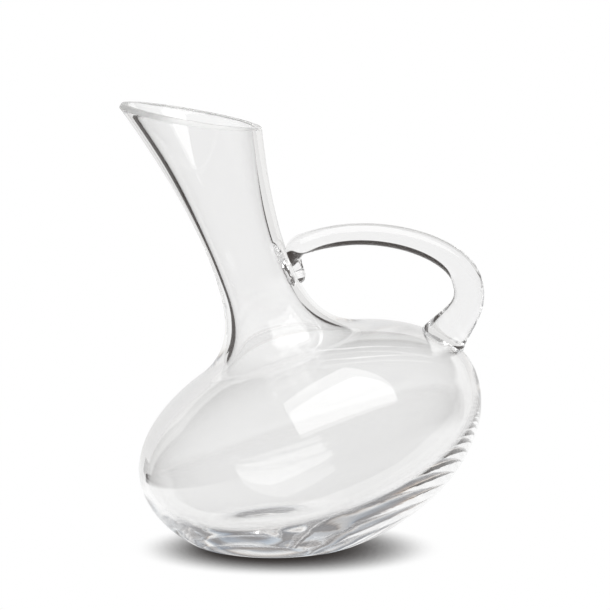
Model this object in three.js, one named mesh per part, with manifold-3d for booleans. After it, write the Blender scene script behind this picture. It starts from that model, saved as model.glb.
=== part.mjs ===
// Wine carafe of clear glass. The vessel, bowl and neck in one, is blown round about its own axis, cut
// slantwise at the mouth and ground flat underneath, so that it stands leaning over with the pouring lip to
// one side. A drawn glass rod is the handle: its foot is set on the shoulder and its upper end is pressed
// onto the neck. Millimetres, +Z up. The origin is the centre of the flat that the carafe stands on, the
// pouring lip points to -X and the handle to +X.

import * as THREE from 'three';
import { mergeVertices } from 'three/addons/utils/BufferGeometryUtils.js';
import Module from 'manifold-3d';

// Vessel, outside. Heights run along the vessel's own axis, from the widest ring of the bowl.
const BOWL_RADIUS = 88.7;
const BOWL_DEPTH = 61; // from the widest ring down to the lowest point, before the flat is ground
const CROWN_HEIGHT = 50; // half height of the ellipse that the bowl follows above the widest ring
const SHOULDER_RADIUS = 44.5; // where the crown turns into the neck's root
const WAIST_RADIUS = 19;
const WAIST_HEIGHT = 91;
const ROOT_PULL = 0.73; // how closely the neck's root follows its two tangents, from 0 to 1
const FLARE_RISE = 36.6; // how far the neck keeps the waist's direction before it opens
const LIP_RADIUS = 37.3;
const MOUTH_HEIGHT = 167.5; // where the mouth's cut crosses the axis
const MOUTH_SLANT = THREE.MathUtils.degToRad(29);
const LIP_BLUNT = 3.4; // how far the sharp tip of the pouring lip is ground back

// Vessel, walls, each measured square to the axis apart from the two at the bowl's top and bottom.
const BOWL_WALL = 3.3;
const BASE_WALL = 13;
const CROWN_WALL = 3.6;
const SHOULDER_WALL = 3.5;
const NECK_WALL = 3.4;
const RIM_WALL = 4.6;

// Stance
const LEAN = THREE.MathUtils.degToRad(19);
const FLAT_CUT = 5; // glass ground away under the lowest point

// Handle. Thickness lies in the plane of the handle and width across it.
const ROD_THICKNESS = 10.8;
const ROD_WIDTH = 11;
const BEND_THICKNESS = 14.9;
const BEND_WIDTH = 14.5;
const FOOT_THICKNESS = 22.3;
const FOOT_WIDTH = 18;
const FOOT_INSET = 8; // from the bowl's widest ring in to the middle of the foot
const FOOT_SINK = 2.2; // how far the rod's middle line runs on under the shoulder
const FOOT_PULL = 11.8;
const BEND_OVERHANG = 10.6; // rod's middle line, beyond the bowl's widest ring
const BEND_RISE = 26.2; // bend's outermost point, above the middle of the foot
const BEND_PULL_UP = 21.3;
const BEND_PULL_DOWN = 16.1;
const LEAVE_PULL = 38.6;
const LEAVE_ANGLE = THREE.MathUtils.degToRad(16); // rise of the rod as it leaves the neck
const ROD_SINK = 4; // how far the rod's middle line starts under the neck's surface
const ROD_DROP = 3.3; // start of the rod's middle line, below the waist

// Pads of glass that spread where the rod is pressed on
const FOOT_PAD_INSET = 9.5; // middle of the pad, inside the widest ring
const FOOT_PAD_LENGTH = 23.5;
const FOOT_PAD_WIDTH = 20;
const FOOT_PAD_HEIGHT = 5.5;
const NECK_PAD_LENGTH = 25;
const NECK_PAD_WIDTH = 16;
const NECK_PAD_HEIGHT = 4.6;
const NECK_PAD_DROP = 8.5; // middle of the pad, below the waist

// Clearance between the handle and the vessel
const SEAM_GAP = 0.3;

// Fineness of the facets
const TURN_STEPS = 48;
const BOWL_STEPS = 8;
const CROWN_STEPS = 7;
const ROOT_STEPS = 7;
const FLARE_STEPS = 6;
const ROD_STEPS = 26;
const ROD_SIDES = 16;
const PAD_TURNS = 16;
const PAD_RINGS = 10;
const CUT_ALLOWANCE = 8; // spare neck above the mouth's cut
const HALVINGS = 40; // in the search for a height on the neck's root

// Solids

const wasm = await Module();
wasm.setup();

function solidOf(geometry) {
  const bare = geometry.clone();
  bare.deleteAttribute('normal');
  bare.deleteAttribute('uv');
  const merged = mergeVertices(bare);
  const corners = merged.index.array;
  const triangles = [];
  for (let i = 0; i < corners.length; i += 3) {
    const [a, b, c] = corners.subarray(i, i + 3);
    if (a !== b && b !== c && c !== a) triangles.push(a, b, c);
  }
  const mesh = new wasm.Mesh({
    numProp: 3,
    vertProperties: merged.attributes.position.array,
    triVerts: Uint32Array.from(triangles),
  });
  return new wasm.Manifold(mesh);
}

function geometryOf(solid) {
  const mesh = solid.getMesh();
  const geometry = new THREE.BufferGeometry();
  geometry.setAttribute('position', new THREE.BufferAttribute(mesh.vertProperties, 3));
  geometry.setIndex(new THREE.BufferAttribute(mesh.triVerts, 1));
  geometry.computeVertexNormals();
  return geometry;
}

// A profile of radius and height, turned about Z.
function turned(profile) {
  return new THREE.LatheGeometry(profile, TURN_STEPS).rotateX(Math.PI / 2);
}

// Vessel

const lipHeight = MOUTH_HEIGHT + LIP_RADIUS * Math.tan(MOUTH_SLANT);

// One side of the wall, from the pole under the bowl to the lip: two ellipses for the bowl, the neck's root
// from the shoulder to the waist, the flare, and a straight end beyond the mouth's cut.
function wallCurves({ radius, depth, crown, shoulder, waist, lip }) {
  const turn = Math.acos(shoulder / radius);
  const shoulderPoint = new THREE.Vector2(shoulder, crown * Math.sin(turn));
  const slope = (crown * Math.cos(turn)) / (radius * Math.sin(turn));
  const corner = new THREE.Vector2(waist, shoulderPoint.y + (shoulder - waist) * slope);
  const waistPoint = new THREE.Vector2(waist, WAIST_HEIGHT);
  const rise = new THREE.Vector2(waist, WAIST_HEIGHT + FLARE_RISE);
  const lipPoint = new THREE.Vector2(lip, lipHeight);
  const end = lipPoint.clone().sub(rise).setLength(CUT_ALLOWANCE).add(lipPoint);
  return {
    bowl: new THREE.EllipseCurve(0, 0, radius, depth, -Math.PI / 2, 0),
    crown: new THREE.EllipseCurve(0, 0, radius, crown, 0, turn),
    root: new THREE.CubicBezierCurve(
      shoulderPoint,
      shoulderPoint.clone().lerp(corner, ROOT_PULL),
      waistPoint.clone().lerp(corner, ROOT_PULL),
      waistPoint,
    ),
    flare: new THREE.QuadraticBezierCurve(waistPoint, rise, lipPoint),
    end: new THREE.LineCurve(lipPoint, end),
  };
}

function wallPoints(curves) {
  const pole = curves.bowl.getPoint(0).setX(0);
  return [
    pole,
    ...curves.bowl.getPoints(BOWL_STEPS).slice(1),
    ...curves.crown.getPoints(CROWN_STEPS).slice(1),
    ...curves.root.getPoints(ROOT_STEPS).slice(1),
    ...curves.flare.getPoints(FLARE_STEPS).slice(1),
    curves.end.getPoint(1),
  ];
}

function outsideCurves(growth) {
  return wallCurves({
    radius: BOWL_RADIUS + growth,
    depth: BOWL_DEPTH + growth,
    crown: CROWN_HEIGHT + growth,
    shoulder: SHOULDER_RADIUS + growth,
    waist: WAIST_RADIUS + growth,
    lip: LIP_RADIUS + growth,
  });
}

const insideCurves = wallCurves({
  radius: BOWL_RADIUS - BOWL_WALL,
  depth: BOWL_DEPTH - BASE_WALL,
  crown: CROWN_HEIGHT - CROWN_WALL,
  shoulder: SHOULDER_RADIUS - SHOULDER_WALL,
  waist: WAIST_RADIUS - NECK_WALL,
  lip: LIP_RADIUS - RIM_WALL,
});

// The leaning frame: its origin is the middle of the bowl's widest ring, placed so that the flat's centre,
// which lies between the bowl's middle and its lowest point, comes to the origin of the carafe.
const leaning = new THREE.Group();
leaning.rotation.y = -LEAN;
const fall = Math.hypot(BOWL_RADIUS * Math.sin(LEAN), BOWL_DEPTH * Math.cos(LEAN));
const lowest = new THREE.Vector3(BOWL_RADIUS ** 2 * Math.sin(LEAN), 0, BOWL_DEPTH ** 2 * Math.cos(LEAN));
const flatCentre = lowest.divideScalar(-fall).multiplyScalar(1 - FLAT_CUT / fall);
leaning.position.copy(flatCentre).applyEuler(leaning.rotation).negate();
leaning.updateMatrix();

// Blocks that take away all there is above the mouth's cut, and all there is below the flat.
function mouthBlock() {
  const size = 4 * lipHeight;
  const block = new THREE.BoxGeometry(size, size, size);
  return block.translate(0, 0, size / 2).rotateY(MOUTH_SLANT).translate(0, 0, MOUTH_HEIGHT);
}

// The tip of the pouring lip is a wedge between the cut and the outside of the flare. This block takes the
// tip away, square to the middle of the wedge.
function lipBlock() {
  const size = 2 * LIP_RADIUS;
  const tip = new THREE.Vector3(-LIP_RADIUS, 0, lipHeight);
  const alongCut = new THREE.Vector3(Math.cos(MOUTH_SLANT), 0, -Math.sin(MOUTH_SLANT));
  const flareRun = lipHeight - WAIST_HEIGHT - FLARE_RISE;
  const alongFlare = new THREE.Vector3(LIP_RADIUS - WAIST_RADIUS, 0, -flareRun).normalize();
  const inward = alongCut.add(alongFlare).normalize();
  const turn = new THREE.Quaternion().setFromUnitVectors(new THREE.Vector3(0, 0, -1), inward);
  const face = tip.addScaledVector(inward, LIP_BLUNT);
  const block = new THREE.BoxGeometry(size, size, size);
  return block.translate(0, 0, size / 2).applyQuaternion(turn).translate(face.x, face.y, face.z);
}

function floorBlock() {
  const size = 4 * BOWL_RADIUS;
  const block = new THREE.BoxGeometry(size, size, size);
  return block.translate(0, 0, -size / 2).applyMatrix4(leaning.matrix.clone().invert());
}

function makeVessel() {
  const profile = [...wallPoints(outsideCurves(0)), ...wallPoints(insideCurves).reverse()];
  const blank = solidOf(turned(profile));
  const cuts = [mouthBlock(), lipBlock(), floorBlock()];
  return geometryOf(cuts.reduce((solid, block) => solid.subtract(solidOf(block)), blank));
}

// Handle

// The point of the bowl's crown at a distance from the axis, with the outward direction there.
function crownAt(distance) {
  const height = CROWN_HEIGHT * Math.sqrt(1 - (distance / BOWL_RADIUS) ** 2);
  const outward = new THREE.Vector3(distance / BOWL_RADIUS ** 2, 0, height / CROWN_HEIGHT ** 2);
  return { point: new THREE.Vector3(distance, 0, height), outward: outward.normalize() };
}

const foot = crownAt(BOWL_RADIUS - FOOT_INSET);

function makeSpine() {
  const start = new THREE.Vector3(WAIST_RADIUS - ROD_SINK, 0, WAIST_HEIGHT - ROD_DROP);
  const leave = new THREE.Vector3(Math.cos(LEAVE_ANGLE), 0, Math.sin(LEAVE_ANGLE));
  const bend = new THREE.Vector3(BOWL_RADIUS + BEND_OVERHANG, 0, foot.point.z + BEND_RISE);
  const end = foot.point.clone().addScaledVector(foot.outward, -FOOT_SINK);
  const arch = new THREE.CubicBezierCurve3(
    start,
    start.clone().addScaledVector(leave, LEAVE_PULL),
    bend.clone().setZ(bend.z + BEND_PULL_UP),
    bend,
  );
  const ankle = new THREE.CubicBezierCurve3(
    bend,
    bend.clone().setZ(bend.z - BEND_PULL_DOWN),
    end.clone().addScaledVector(foot.outward, FOOT_PULL),
    end,
  );
  const spine = new THREE.CurvePath();
  spine.add(arch);
  spine.add(ankle);
  return { spine, bendShare: arch.getLength() / spine.getLength() };
}

// The rod's size at a share of its length: slow growth to the bend, then steady growth to the foot.
function swell(share, bendShare, rod, bend, end) {
  if (share < bendShare) return rod + (bend - rod) * (share / bendShare) ** 2;
  return bend + ((end - bend) * (share - bendShare)) / (1 - bendShare);
}

// Closed skin over a row of rings that all have the same number of points.
function loft(rings) {
  const sides = rings[0].length;
  const middle = (ring) => ring.reduce((sum, p) => sum.add(p), new THREE.Vector3()).divideScalar(sides);
  const points = [...rings.flat(), middle(rings[0]), middle(rings.at(-1))];
  const first = points.length - 2;
  const last = points.length - 1;
  const faces = [];
  for (let j = 0; j < sides; j += 1) {
    const k = (j + 1) % sides;
    for (let i = 0; i + 1 < rings.length; i += 1) {
      const row = i * sides;
      const next = row + sides;
      faces.push(row + j, row + k, next + j, row + k, next + k, next + j);
    }
    const end = (rings.length - 1) * sides;
    faces.push(first, k, j, last, end + j, end + k);
  }
  const geometry = new THREE.BufferGeometry().setFromPoints(points);
  return geometry.setIndex(faces);
}

function makeRod() {
  const { spine, bendShare } = makeSpine();
  const across = new THREE.Vector3(0, 1, 0);
  const rings = [];
  for (let i = 0; i <= ROD_STEPS; i += 1) {
    const share = i / ROD_STEPS;
    const middle = spine.getPointAt(share);
    const side = across.clone().cross(spine.getTangentAt(share)).normalize();
    const thickness = swell(share, bendShare, ROD_THICKNESS, BEND_THICKNESS, FOOT_THICKNESS);
    const width = swell(share, bendShare, ROD_WIDTH, BEND_WIDTH, FOOT_WIDTH);
    const ring = [];
    for (let j = 0; j < ROD_SIDES; j += 1) {
      const angle = (2 * Math.PI * j) / ROD_SIDES;
      const point = middle.clone().addScaledVector(side, (thickness / 2) * Math.cos(angle));
      ring.push(point.addScaledVector(across, (width / 2) * Math.sin(angle)));
    }
    rings.push(ring);
  }
  return loft(rings);
}

// A flattened drop of glass on a surface, longest along the surface's own line.
function makePad(length, width, height, point, outward) {
  const pad = new THREE.SphereGeometry(1, PAD_TURNS, PAD_RINGS).scale(height, width / 2, length / 2);
  const turn = new THREE.Quaternion().setFromUnitVectors(new THREE.Vector3(1, 0, 0), outward);
  return pad.applyQuaternion(turn).translate(point.x, point.y, point.z);
}

// The neck's root at a height under the waist, found by halving.
function rootAt(height) {
  const { root } = outsideCurves(0);
  let low = 0;
  let high = 1;
  for (let i = 0; i < HALVINGS; i += 1) {
    const half = (low + high) / 2;
    if (root.getPoint(half).y < height) low = half;
    else high = half;
  }
  const point = root.getPoint(low);
  const along = root.getTangent(low);
  return {
    point: new THREE.Vector3(point.x, 0, point.y),
    outward: new THREE.Vector3(along.y, 0, -along.x).normalize(),
  };
}

function makeHandle() {
  const press = rootAt(WAIST_HEIGHT - NECK_PAD_DROP);
  const neckPad = makePad(NECK_PAD_LENGTH, NECK_PAD_WIDTH, NECK_PAD_HEIGHT, press.point, press.outward);
  const spread = crownAt(BOWL_RADIUS - FOOT_PAD_INSET);
  const footPad = makePad(FOOT_PAD_LENGTH, FOOT_PAD_WIDTH, FOOT_PAD_HEIGHT, spread.point, spread.outward);
  const form = solidOf(makeRod()).add(solidOf(neckPad)).add(solidOf(footPad));
  const grown = wallPoints(outsideCurves(SEAM_GAP));
  const closed = [...grown, new THREE.Vector2(0, grown.at(-1).y)];
  return geometryOf(form.subtract(solidOf(turned(closed))));
}

// Assembly

const clearGlass = { color: 0xeceeee, roughness: 0.03, metalness: 0, transparent: true, opacity: 0.35 };

function named(name, geometry) {
  const mesh = new THREE.Mesh(geometry, new THREE.MeshStandardMaterial(clearGlass));
  mesh.name = name;
  return mesh;
}

leaning.add(named('vessel', makeVessel()));
leaning.add(named('handle', makeHandle()));

const carafe = new THREE.Group();
carafe.name = 'wine_carafe';
carafe.add(leaning);

export default carafe;
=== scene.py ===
# %% [markdown]
# # A wine carafe of clear glass
# A carafe is hand work. A gather of hot glass is blown into a bowl with a long neck, the mouth is cut
# slantwise and polished, and a flat is ground under the bowl, on which the carafe stands leaning over. A
# drawn rod of glass is pressed on hot as the handle. Nothing on it moves. This lesson models the two
# pieces, vessel and handle, and lights them in a small studio, because clear glass has hardly a colour of
# its own: it shows what it bends and mirrors.

# %% [markdown]
# ## The frame
# A imported model, two plain solids, says where each piece of the carafe goes and how large it is. The
# solids could be given a glass material as they are, but they are coarse, and glass shows every facet. So
# finer pieces take their places.

# %% Imported model
import math

import bmesh
import bpy
from mathutils import Matrix, Vector, noise
from mathutils.geometry import interpolate_bezier


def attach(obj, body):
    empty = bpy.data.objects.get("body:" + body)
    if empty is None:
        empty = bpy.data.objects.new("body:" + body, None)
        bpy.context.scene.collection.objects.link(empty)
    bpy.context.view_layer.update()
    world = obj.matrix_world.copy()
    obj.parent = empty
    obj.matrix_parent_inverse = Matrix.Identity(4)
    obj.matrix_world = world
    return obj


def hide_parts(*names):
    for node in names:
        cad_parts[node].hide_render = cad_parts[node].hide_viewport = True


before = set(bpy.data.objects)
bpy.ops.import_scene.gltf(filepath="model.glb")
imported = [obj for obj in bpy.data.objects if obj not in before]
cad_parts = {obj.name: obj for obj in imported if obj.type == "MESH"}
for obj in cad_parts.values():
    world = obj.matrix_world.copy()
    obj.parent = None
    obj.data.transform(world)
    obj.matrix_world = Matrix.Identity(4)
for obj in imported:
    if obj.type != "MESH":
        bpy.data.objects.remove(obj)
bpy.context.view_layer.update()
print("solids in the frame:", sorted(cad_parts))

# %% [markdown]
# ## How the carafe stands
# The vessel is round about its own axis, and leans by 19 degrees on the flat that is ground under its
# bowl. It could be modelled leaning, but its rings are plain circles only about an upright axis. So both
# pieces are modelled upright, in metres, with the widest ring of the bowl at height 0, and one matrix
# leans them over at the end. The underside of the bowl is half an ellipsoid, and the matrix brings the
# middle of its flat to the origin.

# %% Leaning frame
MM = 0.001
BOWL_RADIUS = 88.7 * MM
BOWL_DEPTH = 61 * MM
LEAN = math.radians(19)
FLAT_CUT = 5 * MM

fall = math.hypot(BOWL_RADIUS * math.sin(LEAN), BOWL_DEPTH * math.cos(LEAN))
lowest = Vector((BOWL_RADIUS ** 2 * math.sin(LEAN), 0, BOWL_DEPTH ** 2 * math.cos(LEAN))) / -fall
flat_centre = lowest * (1 - FLAT_CUT / fall)
lean_over = Matrix.Rotation(-LEAN, 4, "Y")
leaning = Matrix.Translation(-(lean_over @ flat_centre)) @ lean_over
print("the bowl's middle stands at", [round(x / MM, 1) for x in leaning.translation], "mm")

# %% [markdown]
# ## The camera
# A long lens from three metres keeps the sides of the carafe nearly parallel, as in the photograph. A
# camera can be framed by eye in the viewport. Here its lens follows from one scale, half a millimetre to
# a pixel of a square picture, so that lengths in the picture can be read as sizes. The eye stands eight
# degrees above the table.

# %% Camera
EYE_DISTANCE = 3.0
EYE_ELEVATION = math.radians(8)
SIGHT = Vector((16.2 * MM, 0, 108.5 * MM))
SIGHT_ROW = 334
PHOTO_SIDE = 610
METRES_PER_PIXEL = 0.5 * MM

towards_eye = Vector((0, -math.cos(EYE_ELEVATION), math.sin(EYE_ELEVATION)))
picture_up = Vector((0, math.sin(EYE_ELEVATION), math.cos(EYE_ELEVATION)))
eye = SIGHT + EYE_DISTANCE * towards_eye
aim = SIGHT + picture_up * (SIGHT_ROW - PHOTO_SIDE / 2) * METRES_PER_PIXEL
camera_data = bpy.data.cameras.new("camera")
camera_data.lens = camera_data.sensor_width * EYE_DISTANCE / (PHOTO_SIDE * METRES_PER_PIXEL)
camera = bpy.data.objects.new("camera", camera_data)
camera.location = eye
camera.rotation_euler = (aim - eye).to_track_quat("-Z", "Y").to_euler()
bpy.context.scene.collection.objects.link(camera)
bpy.context.scene.camera = camera
print(f"lens of {camera_data.lens:.0f} mm")

# %% [markdown]
# ## Shader maths
# A finish in Blender is a tree of nodes. Making every node by hand hides the thought behind it. This
# small class wraps one socket, so that sums of values read like Python and add the Math nodes themselves.
# Its method add makes any other node: its type, its settings, and what goes into its sockets.

# %% Sockets to calculate with


class Shade:
    """One output socket of a node tree."""

    def __init__(self, tree, socket=None):
        self.tree = tree
        self.socket = socket

    def add(self, kind, settings=(), inputs=(), output=0):
        node = self.tree.nodes.new(kind)
        for name, value in dict(settings).items():
            setattr(node, name, value)
        for name, value in dict(inputs).items():
            if isinstance(value, Shade):
                self.tree.links.new(value.socket, node.inputs[name])
            else:
                node.inputs[name].default_value = value
        return Shade(self.tree, node.outputs[output] if len(node.outputs) else None)

    def math(self, operation, first, second):
        return self.add("ShaderNodeMath", {"operation": operation}, {0: first, 1: second})

    def __add__(self, other):
        return self.math("ADD", self, other)

    __radd__ = __add__

    def __sub__(self, other):
        return self.math("SUBTRACT", self, other)

    def __rsub__(self, other):
        return self.math("SUBTRACT", other, self)

    def __mul__(self, other):
        return self.math("MULTIPLY", self, other)

    __rmul__ = __mul__


# %% Vectors, colours and soft steps
MIX_FACTOR = 0
MIX_FIRST_COLOUR = 6
MIX_SECOND_COLOUR = 7
MIX_RESULT_COLOUR = 2


def mix_colours(factor, first, second):
    """A blend of two colours, first where the factor is 0."""
    sockets = {MIX_FACTOR: factor, MIX_FIRST_COLOUR: first, MIX_SECOND_COLOUR: second}
    return factor.add("ShaderNodeMix", {"data_type": "RGBA"}, sockets, output=MIX_RESULT_COLOUR)


def vector_math(operation, first, second, output="Vector"):
    """A sum of vectors, or a number that is worked out from them."""
    return first.add("ShaderNodeVectorMath", {"operation": operation}, {0: first, 1: second}, output=output)


def length(vector):
    """How long a vector is."""
    return vector.add("ShaderNodeVectorMath", {"operation": "LENGTH"}, {0: vector}, output="Value")


def part(vector, axis):
    """One of the three numbers of a vector."""
    return vector.add("ShaderNodeSeparateXYZ", inputs={0: vector}, output=axis)


def soft_step(value, middle, blur):
    """0 below a level and 1 above it, with a soft change between."""
    return value.add(
        "ShaderNodeMapRange",
        {"interpolation_type": "SMOOTHSTEP"},
        {"Value": value, "From Min": middle - blur, "From Max": middle + blur},
    )


# %% [markdown]
# ## Telling rays apart
# Glass is photographed on white paper in a dark room. The white shines through it, and only rays near its
# edges are bent so far that they end in the dark, which draws its dark lines. Panels and cloths could
# stand round the model, but then the camera would see them too. Light Path tells how a ray came to where
# it ends, so the room can show the glass its panels and the camera a plain white. It counts how often a
# ray was mirrored: never, if it was only bent, a few times at the faces of the wall, and many times if it
# ran on inside the thick base.

# %% Kinds of ray
WANDERING_DEPTH = 3
WANDERING_BLUR = 1.5


def light_path(shade, output):
    """What Light Path says about a ray."""
    return shade.add("ShaderNodeLightPath", output=output)


def mirrored_ray(shade):
    """1 for light that was mirrored on its way, 0 for light that was only bent."""
    return shade.math("MINIMUM", light_path(shade, "Glossy Depth"), 1)


def wandering_ray(shade):
    """1 for light that ran along inside a thick wall, mirrored there again and again."""
    return soft_step(light_path(shade, "Glossy Depth"), WANDERING_DEPTH, WANDERING_BLUR)


def seen_in_glass(shade):
    """1 for rays that were mirrored or bent last, 0 for the camera's own rays and for the table's light."""
    mirrored_last = light_path(shade, "Is Glossy Ray")
    bent_last = light_path(shade, "Is Transmission Ray")
    return shade.math("MAXIMUM", mirrored_last, bent_last)


print("a ray that was mirrored", WANDERING_DEPTH, "times counts half as a wandering one")

# %% [markdown]
# ## Strips for the thick base
# The thick base gathers light from all round and shows it as long streaks, bright and grey, with a trace
# of colour at their edges, because glass bends blue more than red. Cycles bends all colours alike. So the
# rays that wander in the base see soft strips, a stretched noise that is looked up three times, a little
# apart for red, green and blue.

# %% Strips
STRIP_EDGE = 0.52
STRIP_BLUR = 0.12
STRIP_GREY = (0.24, 0.235, 0.24)
STRIP_WHITE = (0.96, 0.955, 0.95)
FRINGE = 0.012


def strips(shade, where, stretch):
    """Bright and grey strips, with a fringe of colour."""
    channels = {}
    where = vector_math("MULTIPLY", where, stretch)
    for step, name in enumerate(("Red", "Green", "Blue")):
        shift = (step - 1) * FRINGE
        shifted = vector_math("ADD", where, (shift, shift, shift))
        waves = shade.add("ShaderNodeTexNoise", inputs={"Vector": shifted, "Scale": 1, "Detail": 1})
        share = soft_step(waves, STRIP_EDGE, STRIP_BLUR)
        channels[name] = STRIP_GREY[step] + (STRIP_WHITE[step] - STRIP_GREY[step]) * share
    return shade.add("ShaderNodeCombineColor", inputs=channels)


print("strips from", STRIP_GREY, "to", STRIP_WHITE)

# %% [markdown]
# ## The room
# The room is the world's colour by direction. Light that the glass only bends sees white up to 18 degrees
# above the horizon and the dark room over it. Light that it mirrors sees a pale backdrop, a panel with a
# left, a right and a top edge. Each edge is a plane through the middle, so a dot product with its inward
# normal tells the side of it that a direction is on. Everything that isn't seen in glass gets plain
# white.

# %% World
WHITE = (1, 1, 1, 1)
DARK_ROOM = (0.06, 0.052, 0.048, 1)
MIRRORED_WHITE = (0.86, 0.855, 0.85, 1)
WHITE_TOP = math.sin(math.radians(18))
WHITE_BLUR = 0.03
BACKDROP_LEFT = math.radians(39)
BACKDROP_RIGHT = math.radians(53)
BACKDROP_TOP = math.radians(27)
BACKDROP_BLUR = 0.02
BACKDROP_EDGES = [
    (math.cos(BACKDROP_LEFT), math.sin(BACKDROP_LEFT), 0),
    (-math.cos(BACKDROP_RIGHT), math.sin(BACKDROP_RIGHT), 0),
    (0, math.sin(BACKDROP_TOP), -math.cos(BACKDROP_TOP)),
]
ROOM_STRIPS = (0.4, 0.4, 5)

world = bpy.data.worlds.new("studio")
bpy.context.scene.world = world
world.use_nodes = True
world.node_tree.nodes.clear()
sky = Shade(world.node_tree)
direction = sky.add("ShaderNodeTexCoord", output="Generated")
on_backdrop = 1
for inward in BACKDROP_EDGES:
    reach = vector_math("DOT_PRODUCT", direction, inward, output="Value")
    on_backdrop = on_backdrop * soft_step(reach, 0, BACKDROP_BLUR)
below_top = 1 - soft_step(part(direction, "Z"), WHITE_TOP, WHITE_BLUR)
mirrored = mirrored_ray(sky)
white = below_top * (1 - mirrored) + on_backdrop * mirrored
room = mix_colours(white, DARK_ROOM, mix_colours(mirrored, WHITE, MIRRORED_WHITE))
room = mix_colours(wandering_ray(sky), room, strips(sky, direction, ROOM_STRIPS))
from_table = sky.math("MINIMUM", light_path(sky, "Diffuse Depth"), 1)
shown = mix_colours(seen_in_glass(sky) * (1 - from_table), WHITE, room)
backdrop = sky.add("ShaderNodeBackground", inputs={"Color": shown})
sky.add("ShaderNodeOutputWorld", inputs={"Surface": backdrop})
print("the room is made of", len(world.node_tree.nodes), "nodes")

# %% [markdown]
# ## The softbox
# A softbox is a lamp behind a white cloth. In the bowl it shows as two bright windows, one in the near
# wall and one in the far wall. A glowing sheet of mesh would do, but an area lamp is no piece of the
# model, can be hidden from the camera, and gives less noise. It is placed by its middle, the way it faces
# and its long edge.

# %% Softbox
SOFTBOX_MIDDLE = Vector((-0.149, -0.134, 1.077))
SOFTBOX_FACING = Vector((-0.58, 0.49, -0.655))
SOFTBOX_LONG_EDGE = Vector((0.347, -0.579, -0.738))
SOFTBOX_LENGTH = 1.38
SOFTBOX_WIDTH = 0.93
SOFTBOX_RADIANCE = 2.0

back = -SOFTBOX_FACING.normalized()
long_edge = (SOFTBOX_LONG_EDGE - SOFTBOX_LONG_EDGE.dot(back) * back).normalized()
softbox_turn = Matrix((long_edge, back.cross(long_edge), back)).transposed().to_4x4()
lamp = bpy.data.lights.new("softbox", "AREA")
lamp.shape = "RECTANGLE"
lamp.size = SOFTBOX_LENGTH
lamp.size_y = SOFTBOX_WIDTH
lamp.energy = SOFTBOX_RADIANCE * math.pi * SOFTBOX_LENGTH * SOFTBOX_WIDTH
softbox = bpy.data.objects.new("softbox", lamp)
softbox.matrix_world = Matrix.Translation(SOFTBOX_MIDDLE) @ softbox_turn
bpy.context.scene.collection.objects.link(softbox)
softbox.visible_camera = False
print(f"softbox of {lamp.size:.2f} by {lamp.size_y:.2f} m, {lamp.energy:.1f} W")

# %% [markdown]
# ## The paper on the table
# The carafe stands on white paper, with a soft brown shadow where the bowl comes close to it. Paper that
# is lit by lamps comes out grey, and light that passes through glass onto it needs many samples. So this
# paper glows in plain white, and Ambient Occlusion, which tells how much stands close above a point,
# darkens its colour: the shadow is painted into the glowing paper. It looks along a slanted direction,
# because the shadow falls to one side. Far out the paper turns transparent, so that no edge shows.

# %% Shadow on the paper
PAINTED_SHADOW_BROWN = (0.03, 0.025, 0.023, 1)
CONTACT_REACH = 0.03
CONTACT_DIRECTION = (-0.27, -0.36, 0.89)
CONTACT_MIDDLE = 0.35
CONTACT_BLUR = 0.35
FADE_RADIUS = 0.45
FADE_BLUR = 0.15
PAPER_LIGHT_STREAKS = (4, 110, 0)


def new_material(name):
    """An empty node material, with a Shade to build it from."""
    material = bpy.data.materials.new(name)
    material.use_nodes = True
    material.node_tree.nodes.clear()
    return material, Shade(material.node_tree)


table_paper, shade = new_material("table_paper")
place = shade.add("ShaderNodeTexCoord", output="Object")
# Painted shadow: Ambient Occlusion darkens the glowing paper under the bowl, brown for the camera.
occlusion = {"Distance": CONTACT_REACH, "Normal": CONTACT_DIRECTION}
open_above = shade.add("ShaderNodeAmbientOcclusion", inputs=occlusion, output="AO")
# Mirrored rays see painted streaks of light on the glowing paper under the bowl.
below_glass = mix_colours(mirrored_ray(shade), WHITE, strips(shade, place, PAPER_LIGHT_STREAKS))
painted_shadow = mix_colours(seen_in_glass(shade), PAINTED_SHADOW_BROWN, below_glass)
paper_with_painted_shadow = mix_colours(soft_step(open_above, CONTACT_MIDDLE, CONTACT_BLUR), painted_shadow, WHITE)
paper = shade.add("ShaderNodeEmission", inputs={"Color": paper_with_painted_shadow})
clear = shade.add("ShaderNodeBsdfTransparent")
fade = soft_step(length(place), FADE_RADIUS, FADE_BLUR)
faded_paper = shade.add("ShaderNodeMixShader", inputs={0: fade, 1: paper, 2: clear})
print(f"the paper fades out from {FADE_RADIUS - FADE_BLUR:.1f} to {FADE_RADIUS + FADE_BLUR:.1f} m")

# %% [markdown]
# ## The edges of the paper
# The left side of the neck has a broad dark line. It mirrors the place where the paper ends on the left
# and the dark table begins. A cut sheet of mesh would show that edge to the camera as well. So the edge
# is in the material, and only mirrored rays see it: two slanted lines that meet in a bend on the left,
# and a soft end in front.

# %% Table
PAPER_LEFT = 0.156
PAPER_LEFT_SLANT = 0.22
PAPER_BEND = 0.065
PAPER_BEND_SLANT = 0.57
PAPER_BLUR = 0.01
PAPER_FRONT = 0.12
PAPER_FRONT_BLUR = 0.12
TABLE_RADIUS = 1.5
TABLE_SIDES = 96
TABLE_GAP = 0.2 * MM


def new_object(name, bm, *materials):
    """Turns a bmesh into an object that stands in the scene."""
    mesh = bpy.data.meshes.new(name)
    bm.to_mesh(mesh)
    bm.free()
    for material in materials:
        mesh.materials.append(material)
    made = bpy.data.objects.new(name, mesh)
    bpy.context.scene.collection.objects.link(made)
    return made


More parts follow.
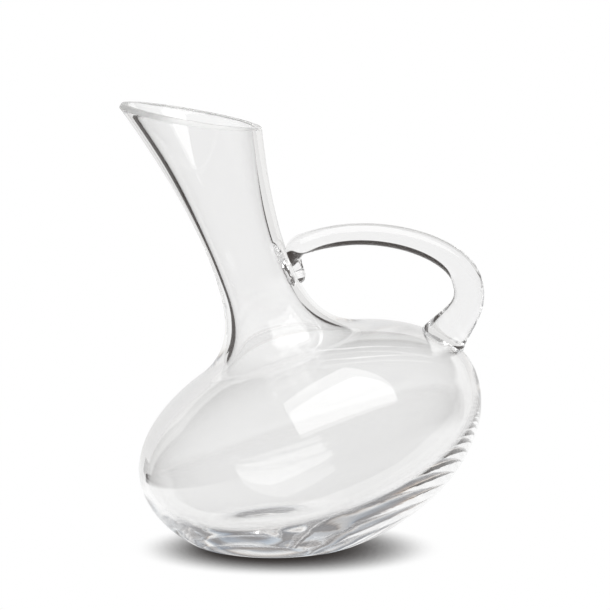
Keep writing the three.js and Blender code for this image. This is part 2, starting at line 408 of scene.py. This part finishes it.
leftward = -1 * part(place, "X")
depth = part(place, "Y")
off_left = soft_step(leftward - PAPER_LEFT_SLANT * depth, PAPER_LEFT, PAPER_BLUR)
off_bend = soft_step(leftward - PAPER_BEND_SLANT * depth, PAPER_BEND, PAPER_BLUR)
off_front = soft_step(-1 * depth, PAPER_FRONT, PAPER_FRONT_BLUR) * (1 - wandering_ray(shade))
off_paper = shade.math("MAXIMUM", off_left * off_bend, off_front) * mirrored_ray(shade)
dark_table = shade.add("ShaderNodeBsdfDiffuse", inputs={"Color": DARK_ROOM})
table_top = shade.add("ShaderNodeMixShader", inputs={0: off_paper, 1: faded_paper, 2: dark_table})
shade.add("ShaderNodeOutputMaterial", inputs={"Surface": table_top})

bm = bmesh.new()
bmesh.ops.create_circle(bm, cap_ends=True, segments=TABLE_SIDES, radius=TABLE_RADIUS)
bmesh.ops.translate(bm, vec=(0, 0, -TABLE_GAP), verts=bm.verts)
table = new_object("table", bm, table_paper)
print(f"table of {2 * TABLE_RADIUS} m across")

# %% [markdown]
# ## Cords in the glass
# Glass that is gathered in layers keeps faint rings, called cords, in its thick base. They are only
# thousandths of a millimetre deep. Waves in the mesh would need far too many faces, so a bump bends the
# light instead. Its waves follow the angle from the pole under the bowl, so the Mapping node first turns
# the leaning vessel upright again.

# %% Cords
CORD_SCALE = 23
CORD_END = math.radians(75)
CORD_BLUR = math.radians(25)
CORD_DEPTH = 0.004 * MM


def cords(shade, place):
    """Rings round the pole, as a bump that fades towards the widest ring."""
    upright = {"Vector": place, "Location": leaning.translation, "Rotation": (0, -LEAN, 0)}
    place = shade.add("ShaderNodeMapping", {"vector_type": "TEXTURE"}, upright)
    girth = length(vector_math("MULTIPLY", place, (1, 1, 0)))
    turn = shade.math("ARCTAN2", girth, -1 * part(place, "Z"))
    rings = {"W": turn, "Scale": CORD_SCALE, "Detail": 1}
    waves = shade.add("ShaderNodeTexNoise", {"noise_dimensions": "1D"}, rings)
    waves = waves * (1 - soft_step(turn, CORD_END, CORD_BLUR))
    return shade.add("ShaderNodeBump", inputs={"Height": waves, "Distance": CORD_DEPTH})


print(f"cords {CORD_DEPTH / MM:.3f} mm deep")

# %% [markdown]
# ## The glass
# Both pieces are one clear glass. A Glass shader or a Principled one with full transmission would bend
# light alike. The Principled one is taken, because an export can read it. Its colour counts at each pass
# through a face, so a tint close to white is enough for the grey of the thick bowl and of the rod. The
# cut rim is ground, which leaves it rough: the same shader, with roughness and a little less
# transmission.

# %% Glass
GLASS_INDEX = 1.52
NECK_TINT = (0.999, 0.999, 0.998, 1)
BOWL_TINT = (0.962, 0.962, 0.96, 1)
BOWL_TOP = 110 * MM
BOWL_TOP_BLUR = 40 * MM
HANDLE_TINT = (0.957, 0.956, 0.955, 1)
GROUND_TINT = (0.95, 0.95, 0.94, 1)
GROUND_ROUGHNESS = 0.6
GROUND_TRANSMISSION = 0.9


def make_glass(name, look):
    """Clear glass, with what the function look adds to its surface."""
    material, shade = new_material(name)
    inputs = {"Roughness": 0, "IOR": GLASS_INDEX, "Transmission Weight": 1}
    inputs.update(look(shade))
    surface = shade.add("ShaderNodeBsdfPrincipled", inputs=inputs)
    shade.add("ShaderNodeOutputMaterial", inputs={"Surface": surface})
    print(name, "is made of", len(material.node_tree.nodes), "nodes")
    return material


def vessel_look(shade):
    """The glass is tinted a shade greyer in the bowl than in the neck, with a soft change between."""
    place = shade.add("ShaderNodeTexCoord", output="Object")
    in_neck = soft_step(part(place, "Z"), BOWL_TOP, BOWL_TOP_BLUR)
    return {"Base Color": mix_colours(in_neck, BOWL_TINT, NECK_TINT), "Normal": cords(shade, place)}


def handle_look(shade):
    """The rod is solid, so it is as grey as the bowl."""
    return {"Base Color": HANDLE_TINT}


def ground_look(shade):
    """Ground glass scatters the light that it lets through."""
    return {
        "Base Color": GROUND_TINT,
        "Roughness": GROUND_ROUGHNESS,
        "Transmission Weight": GROUND_TRANSMISSION,
    }


vessel_glass = make_glass("vessel_glass", vessel_look)
handle_glass = make_glass("handle_glass", handle_look)
ground_glass = make_glass("ground_glass", ground_look)

# %% [markdown]
# ## The outer line of the vessel
# The bowl and the neck are one round body with a soft, unbroken outline. It could be drawn by hand, point
# by point, but small kinks show as broken reflections. So it is put together from smooth lines that meet
# without a corner: an ellipse for the bowl, a flatter one for its crown, a Bézier curve for the root of
# the neck, and a parabola for the flare. A growth makes the whole form larger by a constant step, which
# the handle will need.

# %% Outer line
CROWN_HEIGHT = 50 * MM
SHOULDER_RADIUS = 44.5 * MM
WAIST_RADIUS = 19 * MM
WAIST_HEIGHT = 91 * MM
ROOT_PULL = 0.73
BOWL_STEPS = 110
CROWN_STEPS = 28
ROOT_STEPS = 24


def ellipse_arc(radius, height, start, end, steps):
    """Points on an ellipse about the axis, from one angle to another."""
    angles = [start + (end - start) * i / steps for i in range(steps + 1)]
    return [Vector((radius * math.cos(a), 0, height * math.sin(a))) for a in angles]


def bowl_line(growth=0.0):
    """The outer side of the wall, from the pole under the bowl to the waist."""
    radius = BOWL_RADIUS + growth
    crown = CROWN_HEIGHT + growth
    shoulder = SHOULDER_RADIUS + growth
    waist = WAIST_RADIUS + growth
    turn = math.acos(shoulder / radius)
    shoulder_point = Vector((shoulder, 0, crown * math.sin(turn)))
    slope = crown * math.cos(turn) / (radius * math.sin(turn))
    corner = Vector((waist, 0, shoulder_point.z + (shoulder - waist) * slope))
    waist_point = Vector((waist, 0, WAIST_HEIGHT))
    root = interpolate_bezier(
        shoulder_point,
        shoulder_point.lerp(corner, ROOT_PULL),
        waist_point.lerp(corner, ROOT_PULL),
        waist_point,
        ROOT_STEPS + 1,
    )
    bowl = ellipse_arc(radius, BOWL_DEPTH + growth, -math.pi / 2, 0, BOWL_STEPS)
    bowl[0].x = 0
    return [*bowl, *ellipse_arc(radius, crown, 0, turn, CROWN_STEPS)[1:], *root[1:]]


print("from the pole to the waist:", len(bowl_line()), "points")

# %% Flare of the neck
FLARE_RISE = 36.6 * MM
LIP_RADIUS = 37.3 * MM
MOUTH_HEIGHT = 167.5 * MM
MOUTH_SLANT = math.radians(29)
LIP_HEIGHT = MOUTH_HEIGHT + LIP_RADIUS * math.tan(MOUTH_SLANT)
FLARE_BULGE = LIP_HEIGHT - WAIST_HEIGHT - 2 * FLARE_RISE
FLARE_STEPS = 28


def flare(share, waist, lip):
    """Radius and height of the flaring neck, from the waist at 0 to the lip at 1."""
    radius = waist + (lip - waist) * share ** 2
    return radius, WAIST_HEIGHT + 2 * FLARE_RISE * share + FLARE_BULGE * share ** 2


def neck_line(waist, lip):
    """The flaring neck above the waist."""
    rings = [flare(i / FLARE_STEPS, waist, lip) for i in range(1, FLARE_STEPS + 1)]
    return [Vector((out, 0, up)) for out, up in rings]


def outer_line(growth=0.0):
    """The whole outer side of the vessel."""
    return [*bowl_line(growth), *neck_line(WAIST_RADIUS + growth, LIP_RADIUS + growth)]


print(f"the pouring lip rises {LIP_HEIGHT / MM:.1f} mm above the widest ring")

# %% [markdown]
# ## The wall
# Blown glass is thick where the gather stayed thick: in the base, again at the shoulder where the neck
# was drawn out, and at the rim. A Solidify modifier gives a shell one thickness. Here the thickness
# changes smoothly along the line, so each inner point is set off from its outer point, square to the
# line.

# %% Thickness of the wall
BASE_WALL = 11 * MM
BOWL_WALL = 4 * MM
SHOULDER_WALL = 6.1 * MM
NECK_WALL = 4.1 * MM
RIM_WALL = 4.6 * MM
SHOULDER_STEPS = 6
END_STEP = 1 * MM


def blend(start, end, steps):
    """Values that change smoothly from one to another."""
    return [start + (end - start) * (1 - math.cos(math.pi * i / steps)) / 2 for i in range(steps + 1)]


def inner_line():
    """The inner side of the vessel, set off from the outer side by the wall."""
    line = bowl_line()
    walls = [
        *blend(BASE_WALL, BOWL_WALL, BOWL_STEPS),
        *blend(BOWL_WALL, SHOULDER_WALL, CROWN_STEPS + SHOULDER_STEPS)[1:],
        *blend(SHOULDER_WALL, NECK_WALL, ROOT_STEPS - SHOULDER_STEPS)[1:],
    ]
    before = [line[0] - Vector((END_STEP, 0, 0)), *line]
    after = [*line[1:], line[-1] + Vector((0, 0, END_STEP))]
    inner = []
    for point, thickness, low, high in zip(line, walls, before, after):
        along = (high - low).normalized()
        inner.append(point - Vector((along.z, 0, -along.x)) * thickness)
    inner[0].x = 0
    return [*inner, *neck_line(WAIST_RADIUS - NECK_WALL, LIP_RADIUS - RIM_WALL)]


print(f"the cavity is {-inner_line()[0].z / MM:.1f} mm deep below the widest ring")

# %% [markdown]
# ## Turning the vessel
# A round body is turned from half of its outline, as on a lathe. A Screw modifier would do it too, but
# the spin operator leaves a bmesh that the next steps can shape further. The line runs up the outer side,
# across the rim and down the cavity, so the turned wall is closed. The points of the cavity are marked,
# to find them again later.

# %% Turned wall
TURN_STEPS = 180
MERGE = 0.001 * MM


def turned(outer, inner=()):
    """A bmesh of a line turned once about the axis, in which the points of the inner side are marked."""
    bm = bmesh.new()
    mark = bm.verts.layers.int.new("cavity")
    points = [bm.verts.new(point) for point in [*outer, *reversed(inner)]]
    for point in points[len(outer):]:
        point[mark] = 1
    lines = [bm.edges.new(pair) for pair in zip(points, points[1:])]
    bmesh.ops.spin(
        bm,
        geom=points + lines,
        cent=(0, 0, 0),
        axis=(0, 0, 1),
        angle=2 * math.pi,
        steps=TURN_STEPS,
        use_merge=True,
    )
    bmesh.ops.remove_doubles(bm, verts=bm.verts, dist=MERGE)
    bmesh.ops.recalc_face_normals(bm, faces=bm.faces)
    return bm, mark


def open_edges(bm):
    """The edges around the holes."""
    return [edge for edge in bm.edges if edge.is_boundary]


vessel_bm, mark = turned(outer_line(), inner_line())
print("turned wall:", len(vessel_bm.faces), "faces,", len(open_edges(vessel_bm)), "open edges")

# %% [markdown]
# ## The slanting mouth
# The mouth is sawn off slantwise, so that one side of it is a pouring lip. Bisecting the mesh with a
# plane would leave slivers of faces along the cut, and glass shows them. So every ring of the neck is
# slid along the flare until the last one lies on the cut. Where the cut meets the flare, on each side,
# follows from a quadratic equation.

# %% Mouth


def share_at(height):
    """How far up the flare a height is, the flare's own height turned round."""
    return (math.sqrt(FLARE_RISE ** 2 + FLARE_BULGE * (height - WAIST_HEIGHT)) - FLARE_RISE) / FLARE_BULGE


def share_at_cut(facing, waist, lip):
    """How far up the flare the slanting cut meets it, on the side that has this cosine."""
    slope = math.tan(MOUTH_SLANT) * facing
    bulge = FLARE_BULGE + slope * (lip - waist)
    drop = WAIST_HEIGHT - MOUTH_HEIGHT + slope * waist
    return (math.sqrt(FLARE_RISE ** 2 - bulge * drop) - FLARE_RISE) / bulge


neck_points = [vert for vert in vessel_bm.verts if vert.co.z > WAIST_HEIGHT + MERGE]
for vert in neck_points:
    waist = WAIST_RADIUS - NECK_WALL * vert[mark]
    lip = LIP_RADIUS - RIM_WALL * vert[mark]
    girth = vert.co.xy.length
    share = share_at(vert.co.z) * share_at_cut(vert.co.x / girth, waist, lip)
    out, up = flare(share, waist, lip)
    vert.co = (vert.co.x / girth * out, vert.co.y / girth * out, up)
print("points of the neck slid to the cut:", len(neck_points))

# %% [markdown]
# ## The uneven wall
# A blown wall is never quite even: the cavity wanders off the axis by about a millimetre. The eye can't
# see that itself, but it moves the dark lines, which lie deeper in the glass on one side than on the
# other. An even wall would look machined. So the points of the cavity are shifted by three smooth humps,
# in base, crown and neck.

# %% Drift of the cavity
BASE_DRIFT = 1 * MM
BASE_DRIFT_HEIGHT = -55 * MM
BASE_DRIFT_SPREAD = 50 * MM
CROWN_DRIFT = 1.0 * MM
CROWN_DRIFT_HEIGHT = 30 * MM
CROWN_DRIFT_SPREAD = 34 * MM
NECK_DRIFT = -1.1 * MM
NECK_DRIFT_HEIGHT = 105 * MM
NECK_DRIFT_SPREAD = 50 * MM


def hump(value, middle, spread):
    """A smooth rise to 1 in the middle and back to 0."""
    return (1 + math.cos(math.pi * min(1, abs(value - middle) / spread))) / 2


def drift(height):
    """How far the cavity lies off the axis, towards the handle."""
    in_neck = NECK_DRIFT * hump(height, NECK_DRIFT_HEIGHT, NECK_DRIFT_SPREAD)
    in_crown = CROWN_DRIFT * hump(height, CROWN_DRIFT_HEIGHT, CROWN_DRIFT_SPREAD)
    return in_neck + in_crown + BASE_DRIFT * hump(height, BASE_DRIFT_HEIGHT, BASE_DRIFT_SPREAD)


for vert in vessel_bm.verts:
    vert.co.x += drift(vert.co.z) * vert[mark]
vessel_bm.normal_update()
print("glass of the vessel:", round(vessel_bm.calc_volume() / MM ** 3 / 1000), "cubic centimetres")

# %% [markdown]
# ## The chamfer of the rim
# The sawn rim is ground off on the outside, broadly at the pouring lip and hardly at all at the back. The
# bevel operator cuts all its edges alike. The Bevel modifier can follow a weight on each edge, so it
# makes this chamfer. The cut itself and the chamfer get the ground glass, the second material of the
# vessel.

# %% Chamfer
RIM_CHAMFER = 3.4 * MM
RIM_CHAMFER_BACK = 0.5 * MM
MOUTH_CENTRE = Vector((0, 0, MOUTH_HEIGHT))
MOUTH_NORMAL = Vector((math.sin(MOUTH_SLANT), 0, math.cos(MOUTH_SLANT)))
CUT_TOLERANCE = 0.01 * MM
IN_CUT = 0.999
OFF_CUT = 0.9
GROUND_SLOT = 1


def is_outer_lip(edge):
    """Whether an edge lies between the cut and the outer side of the neck."""
    off_cut, in_cut = sorted(face.normal.dot(MOUTH_NORMAL) for face in edge.link_faces)
    in_cavity = any(vert[mark] for vert in edge.verts)
    return in_cut > IN_CUT and off_cut < OFF_CUT and not in_cavity


for face in vessel_bm.faces:
    if max(abs((vert.co - MOUTH_CENTRE).dot(MOUTH_NORMAL)) for vert in face.verts) < CUT_TOLERANCE:
        face.material_index = GROUND_SLOT
weights = vessel_bm.edges.layers.float.new("bevel_weight_edge")
lip_edges = [edge for edge in vessel_bm.edges if is_outer_lip(edge)]
for edge in lip_edges:
    middle = (edge.verts[0].co + edge.verts[1].co) / 2
    share = (1 - middle.x / middle.xy.length) / 2
    edge[weights] = (RIM_CHAMFER_BACK + (RIM_CHAMFER - RIM_CHAMFER_BACK) * share) / RIM_CHAMFER
print("edges round the lip:", len(lip_edges))

# %% Chamfered vessel


def finished_mesh(made):
    """The object's mesh with its modifiers applied. The object itself is removed."""
    made_now = made.evaluated_get(bpy.context.evaluated_depsgraph_get())
    mesh = bpy.data.meshes.new_from_object(made_now)
    bpy.data.objects.remove(made)
    return mesh


vessel_blank = new_object("vessel_blank", vessel_bm, vessel_glass, ground_glass)
chamfer = vessel_blank.modifiers.new("chamfer", "BEVEL")
chamfer.limit_method = "WEIGHT"
chamfer.width = RIM_CHAMFER
chamfer.segments = 1
chamfer.material = GROUND_SLOT
chamfer.use_clamp_overlap = False
chamfered_mesh = finished_mesh(vessel_blank)
print("chamfered vessel:", len(chamfered_mesh.polygons), "faces")

# %% [markdown]
# ## The eased edges of the rim
# Fresh edges of cut glass would cut the hand, so each one is rubbed down. Smooth shading alone would
# smear the light over the flat faces beside it. A narrow bevel keeps them flat and gives the edge its own
# small gleam. The operator is enough here, because all these edges are eased alike.

# %% Eased edges
RIM_EASE = 0.3 * MM
RIM_EASE_SEGMENTS = 3
RIM_CREASE = math.radians(25)

vessel_bm = bmesh.new()
vessel_bm.from_mesh(chamfered_mesh)
sharp = [edge for edge in vessel_bm.edges if edge.calc_face_angle(0) > RIM_CREASE]
eased = bmesh.ops.bevel(
    vessel_bm,
    geom=sharp,
    offset=RIM_EASE,
    affect="EDGES",
    segments=RIM_EASE_SEGMENTS,
    profile=0.5,
    material=-1,
)
for face in eased["faces"]:
    face.material_index = GROUND_SLOT
print("eased edges round the mouth:", len(sharp))

# %% [markdown]
# ## The standing flat
# The flat under the bowl is ground and polished, and its edge is worn soft. A Boolean cut would leave a
# hard edge, which draws a dark ring. So the vessel leans over, and the points that would be below the
# table are lifted onto it. Close to the edge a parabola leads from the bowl into the flat.

# %% Flat
FLAT_SOFTNESS = 4 * MM

bmesh.ops.transform(vessel_bm, matrix=leaning, verts=vessel_bm.verts)
for vert in vessel_bm.verts:
    if vert.co.z < -FLAT_SOFTNESS:
        vert.co.z = 0
    elif vert.co.z < FLAT_SOFTNESS:
        vert.co.z = (vert.co.z + FLAT_SOFTNESS) ** 2 / (4 * FLAT_SOFTNESS)
for face in vessel_bm.faces:
    face.smooth = True
print("vessel:", len(vessel_bm.faces), "faces,", len(open_edges(vessel_bm)), "open edges")
vessel = new_object("carafe_vessel", vessel_bm, vessel_glass, ground_glass)

# %% [markdown]
# ## The arch of the handle
# The handle is one hot rod. Its foot is set on the shoulder of the bowl, it is drawn up, bent over and
# led to the neck. A curve object with a bevel makes a round rod, but the width and the thickness of this
# one change separately. So only its middle line is a curve here, two Bézier curves that meet in the
# outermost bend, and the rod is drawn along it afterwards. The line runs from the neck to the foot.

# %% Arch
UP = Vector((0, 0, 1))
OUT = Vector((1, 0, 0))
ROD_SINK = 4 * MM
ROD_DROP = 3.3 * MM
LEAVE_ANGLE = math.radians(16)
LEAVE_PULL = 38.6 * MM
BEND_OVERHANG = 10.6 * MM
BEND_RISE = 24.3 * MM
BEND_PULL_UP = 21.3 * MM
BEND_PULL_DOWN = 16.1 * MM
FOOT_INSET = 9.6 * MM
FOOT_SINK = 2.2 * MM
FOOT_PULL = 11.8 * MM
ARCH_STEPS = 128
ARCH_FROM = 32
ANKLE_STEPS = 64


def crown_at(distance):
    """The point of the bowl's crown at a distance from the axis, with the outward direction there."""
    height = CROWN_HEIGHT * math.sqrt(1 - (distance / BOWL_RADIUS) ** 2)
    outward = Vector((distance / BOWL_RADIUS ** 2, 0, height / CROWN_HEIGHT ** 2))
    return Vector((distance, 0, height)), outward.normalized()


foot, outward = crown_at(BOWL_RADIUS - FOOT_INSET)
root = Vector((WAIST_RADIUS - ROD_SINK, 0, WAIST_HEIGHT - ROD_DROP))
leave = Vector((math.cos(LEAVE_ANGLE), 0, math.sin(LEAVE_ANGLE)))
bend = Vector((BOWL_RADIUS + BEND_OVERHANG, 0, foot.z + BEND_RISE))
end = foot - outward * FOOT_SINK
root_pull = root + leave * LEAVE_PULL
arch = interpolate_bezier(root, root_pull, bend + UP * BEND_PULL_UP, bend, ARCH_STEPS + 1)[ARCH_FROM:]
end_pull = end + outward * FOOT_PULL
ankle = interpolate_bezier(bend, bend - UP * BEND_PULL_DOWN, end_pull, end, ANKLE_STEPS + 1)
print("arch and ankle:", len(arch) + len(ankle) - 1, "points")

# %% [markdown]
# ## The knuckle and the tail
# The end of the rod is pressed onto the neck and its tail is folded down, which leaves a knuckle. The
# tail is a straight line down the neck, the knuckle a quarter of a circle, and a short run leads on into
# the arch. A Bézier curve draws a quarter of a circle when its handles reach 0.552 of the radius. A
# folded tail could be a piece of its own, but it is the same rod, so it stays on the same line.

# %% Knuckle and tail
TAIL_OUT = 1.6 * MM
TAIL_DROP = 19 * MM
KNUCKLE_DROP = 7.5 * MM
KNUCKLE_RADIUS = 6.8 * MM
QUARTER_CIRCLE_PULL = 0.552
RUN_PULL = 6 * MM
TIP_STEPS = 13
BULB_STEPS = 10
CREASE_STEPS = 15
TAIL_STEPS = TIP_STEPS + BULB_STEPS + CREASE_STEPS
KNUCKLE_STEPS = 32
RUN_STEPS = 32

tip = Vector((WAIST_RADIUS + TAIL_OUT, 0, WAIST_HEIGHT - TAIL_DROP))
wrist = Vector((WAIST_RADIUS + TAIL_OUT, 0, WAIST_HEIGHT - KNUCKLE_DROP))
top = wrist + (OUT + UP) * KNUCKLE_RADIUS
pull = QUARTER_CIRCLE_PULL * KNUCKLE_RADIUS
onward = (arch[1] - arch[0]).normalized()
run_end_pull = arch[0] - onward * RUN_PULL
tail = [tip.lerp(wrist, i / TAIL_STEPS) for i in range(TAIL_STEPS + 1)]
knuckle = interpolate_bezier(wrist, wrist + UP * pull, top - OUT * pull, top, KNUCKLE_STEPS + 1)
run = interpolate_bezier(top, top + OUT * RUN_PULL, run_end_pull, arch[0], RUN_STEPS + 1)
spine = [*tail, *knuckle[1:], *run[1:], *arch[1:], *ankle[1:]]
rod_length = sum((b - a).length for a, b in zip(spine, spine[1:]))
print(f"spine of the rod: {len(spine)} points, {rod_length / MM:.0f} mm long")

# %% [markdown]
# ## The girth of the rod
# The tool that pressed the tail left a thin tip, a bulb, and a crease that widens into the flattened
# knuckle. From there the rod gets thicker over the arch, and flares at its foot. Scaling rings by hand
# would do for a few of them. With some hundred it is easier to name the size at seven places and to blend
# between them.

# %% Girth
THICKNESS = {
    "tip": 1 * MM,
    "bulb": 7.4 * MM,
    "crease": 7 * MM,
    "knuckle": 10.2 * MM,
    "arch": 10.8 * MM,
    "bend": 14.9 * MM,
    "foot": 24.5 * MM,
}
WIDTH = {
    "tip": 2 * MM,
    "bulb": 9 * MM,
    "crease": 4 * MM,
    "knuckle": 16 * MM,
    "arch": 11.2 * MM,
    "bend": 14.5 * MM,
    "foot": 19 * MM,
}
TIP_POWER = 0.5
ARCH_POWER = 2
FOOT_POWER = 2.2


def grading(start, end, steps, power=1):
    """Values after the first one, from one size to another, slow at first where the power is high."""
    return [start + (end - start) * (i / steps) ** power for i in range(1, steps + 1)]


def girths(tip, bulb, crease, knuckle, arch, bend, foot):
    """One size of the rod at every point of the spine."""
    return [
        tip,
        *grading(tip, bulb, TIP_STEPS, TIP_POWER),
        *blend(bulb, crease, BULB_STEPS)[1:],
        *blend(crease, knuckle, CREASE_STEPS + KNUCKLE_STEPS)[1:],
        *grading(knuckle, arch, RUN_STEPS),
        *grading(arch, bend, ARCH_STEPS - ARCH_FROM, ARCH_POWER),
        *grading(bend, foot, ANKLE_STEPS, FOOT_POWER),
    ]


thicknesses = girths(**THICKNESS)
widths = girths(**WIDTH)
print(f"the rod is {min(thicknesses) / MM:.1f} to {max(thicknesses) / MM:.1f} mm thick")

# %% [markdown]
# ## Drawing the rod
# The glassmaker draws the rod out of a lump. Here a circle is extruded along the spine, ring by ring, as
# one would do it in the viewport: extrude the edge of the open end, then bring the new ring to the next
# point, turn and size. The matrix from one station to the next does all three at once.

# %% Rod
ROD_SIDES = 96
ACROSS = Vector((0, 1, 0))


def station(i):
    """The matrix that puts a unit circle round the spine at one of its points."""
    along = (spine[min(i + 1, len(spine) - 1)] - spine[max(i - 1, 0)]).normalized()
    turn = Matrix((ACROSS.cross(along), ACROSS, along)).transposed().to_4x4()
    return Matrix.Translation(spine[i]) @ turn @ Matrix.Diagonal((thicknesses[i] / 2, widths[i] / 2, 1, 1))


def drawn_rod():
    """A round bar along the spine, from the thin tail to the thick foot."""
    stations = [station(i) for i in range(len(spine))]
    bm = bmesh.new()
    bmesh.ops.create_circle(bm, segments=ROD_SIDES, radius=1, matrix=stations[0])
    edges = list(bm.edges)
    for before, after in zip(stations, stations[1:]):
        grown = bmesh.ops.extrude_edge_only(bm, edges=edges)["geom"]
        ring = {item for item in grown if isinstance(item, bmesh.types.BMVert)}
        new_edges = [item for item in grown if isinstance(item, bmesh.types.BMEdge)]
        edges = [edge for edge in new_edges if ring.issuperset(edge.verts)]
        bmesh.ops.transform(bm, matrix=after @ before.inverted(), verts=list(ring))
    bmesh.ops.holes_fill(bm, edges=bm.edges, sides=0)
    bmesh.ops.recalc_face_normals(bm, faces=bm.faces)
    return bm


handle_bm = drawn_rod()
print("rod:", len(handle_bm.faces), "faces,", len(open_edges(handle_bm)), "open edges")

# %% [markdown]
# ## Crumples
# Hot glass that is pressed and sheared keeps small dents, round the knuckle and on the outside of the
# ankle. They could be sculpted with a brush, which leaves nothing to read in a script. So the surface is
# moved along its normals by a noise that fades out round a few points. Each has its middle, its reach,
# and the width and depth of its dents.

# %% Crumples
CRUMPLES = [
    (Vector((26, 0, 82)) * MM, 8 * MM, 2.3 * MM, 0.4 * MM),
    (Vector((31, 0, 86)) * MM, 6 * MM, 1.1 * MM, 0.35 * MM),
    (Vector((103, -5, 40)) * MM, 9 * MM, 1.6 * MM, 0.35 * MM),
]


def crumple(bm, middle, reach, width, depth):
    """Dents the surface round a point, most in the middle."""
    bm.normal_update()
    moves = []
    for vert in bm.verts:
        weight = hump((vert.co - middle).length, 0, reach)
        if weight > 0:
            moves.append((vert, vert.normal * noise.noise(vert.co / width) * depth * weight))
    for vert, move in moves:
        vert.co += move
    print("dented points:", len(moves))


for dents in CRUMPLES:
    crumple(handle_bm, *dents)

# %% [markdown]
# ## The seam
# The hot rod takes the form of the wall that it is pressed on. Joining both meshes would make one piece
# of them, and faces that overlap inside glass show as dark films. So a copy of the vessel's outer form, a
# hair larger, is cut out of the rod by a Boolean modifier. The hair of air that is left shows as a bright
# line along the seam.

# %% Seam
SEAM_GAP = 0.1 * MM

handle_blank = new_object("handle_blank", handle_bm, handle_glass)
form_bm, _ = turned([*outer_line(SEAM_GAP), Vector((0, 0, LIP_HEIGHT))])
vessel_form = new_object("vessel_form", form_bm, handle_glass)
trim = handle_blank.modifiers.new("trim", "BOOLEAN")
trim.operation = "DIFFERENCE"
trim.solver = "EXACT"
trim.object = vessel_form
trimmed_mesh = finished_mesh(handle_blank)
bpy.data.objects.remove(vessel_form)
print("trimmed rod:", len(trimmed_mesh.polygons), "faces")

# %% Handle
SEAM_CREASE = math.radians(40)

handle_bm = bmesh.new()
handle_bm.from_mesh(trimmed_mesh)
bmesh.ops.transform(handle_bm, matrix=leaning, verts=handle_bm.verts)
for face in handle_bm.faces:
    face.material_index = 0
    face.smooth = True
for edge in handle_bm.edges:
    edge.smooth = edge.calc_face_angle(0) < SEAM_CREASE
print("handle:", len(handle_bm.faces), "faces,", len(open_edges(handle_bm)), "open edges")
handle = new_object("carafe_handle", handle_bm, handle_glass)

# %% [markdown]
# ## What the softbox reaches
# The paper glows by itself, so the softbox has nothing to add to the table. It could be shielded with a
# card, as a photographer does. Light linking is simpler: a lamp lights only the objects of a collection.

# %% Light linking
lit_by_softbox = bpy.data.collections.new("lit_by_softbox")
for piece in (vessel, handle):
    lit_by_softbox.objects.link(piece)
softbox.light_linking.receiver_collection = lit_by_softbox

# %% [markdown]
# ## The places in the frame
# Each finished piece takes the place of the solid that it was modelled after. The solid is hidden, but it
# still stands for the piece where things collide. Nothing on the carafe moves, so both pieces ride on its
# one body.

# %% Riding
for piece, node in ((vessel, "vessel"), (handle, "handle")):
    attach(piece, "root")
    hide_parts(node)
    print(piece.name, "replaces", node)

# %% [markdown]
# ## The last settings
# Colours come out as they are written, without a film look, so the view transform is Standard. A ray
# crosses many faces of the two pieces and runs on inside the thick base. With Blender's own limits it
# would stop there and turn black, so more bounces are allowed. Denoising smooths what is left of the
# grain.

# %% Render settings of the look
BOUNCES = 96

scene = bpy.context.scene
scene.view_settings.view_transform = "Standard"
scene.cycles.max_bounces = BOUNCES
scene.cycles.transmission_bounces = BOUNCES
scene.cycles.glossy_bounces = BOUNCES
scene.cycles.use_denoising = True
print("bounces of a ray:", BOUNCES)
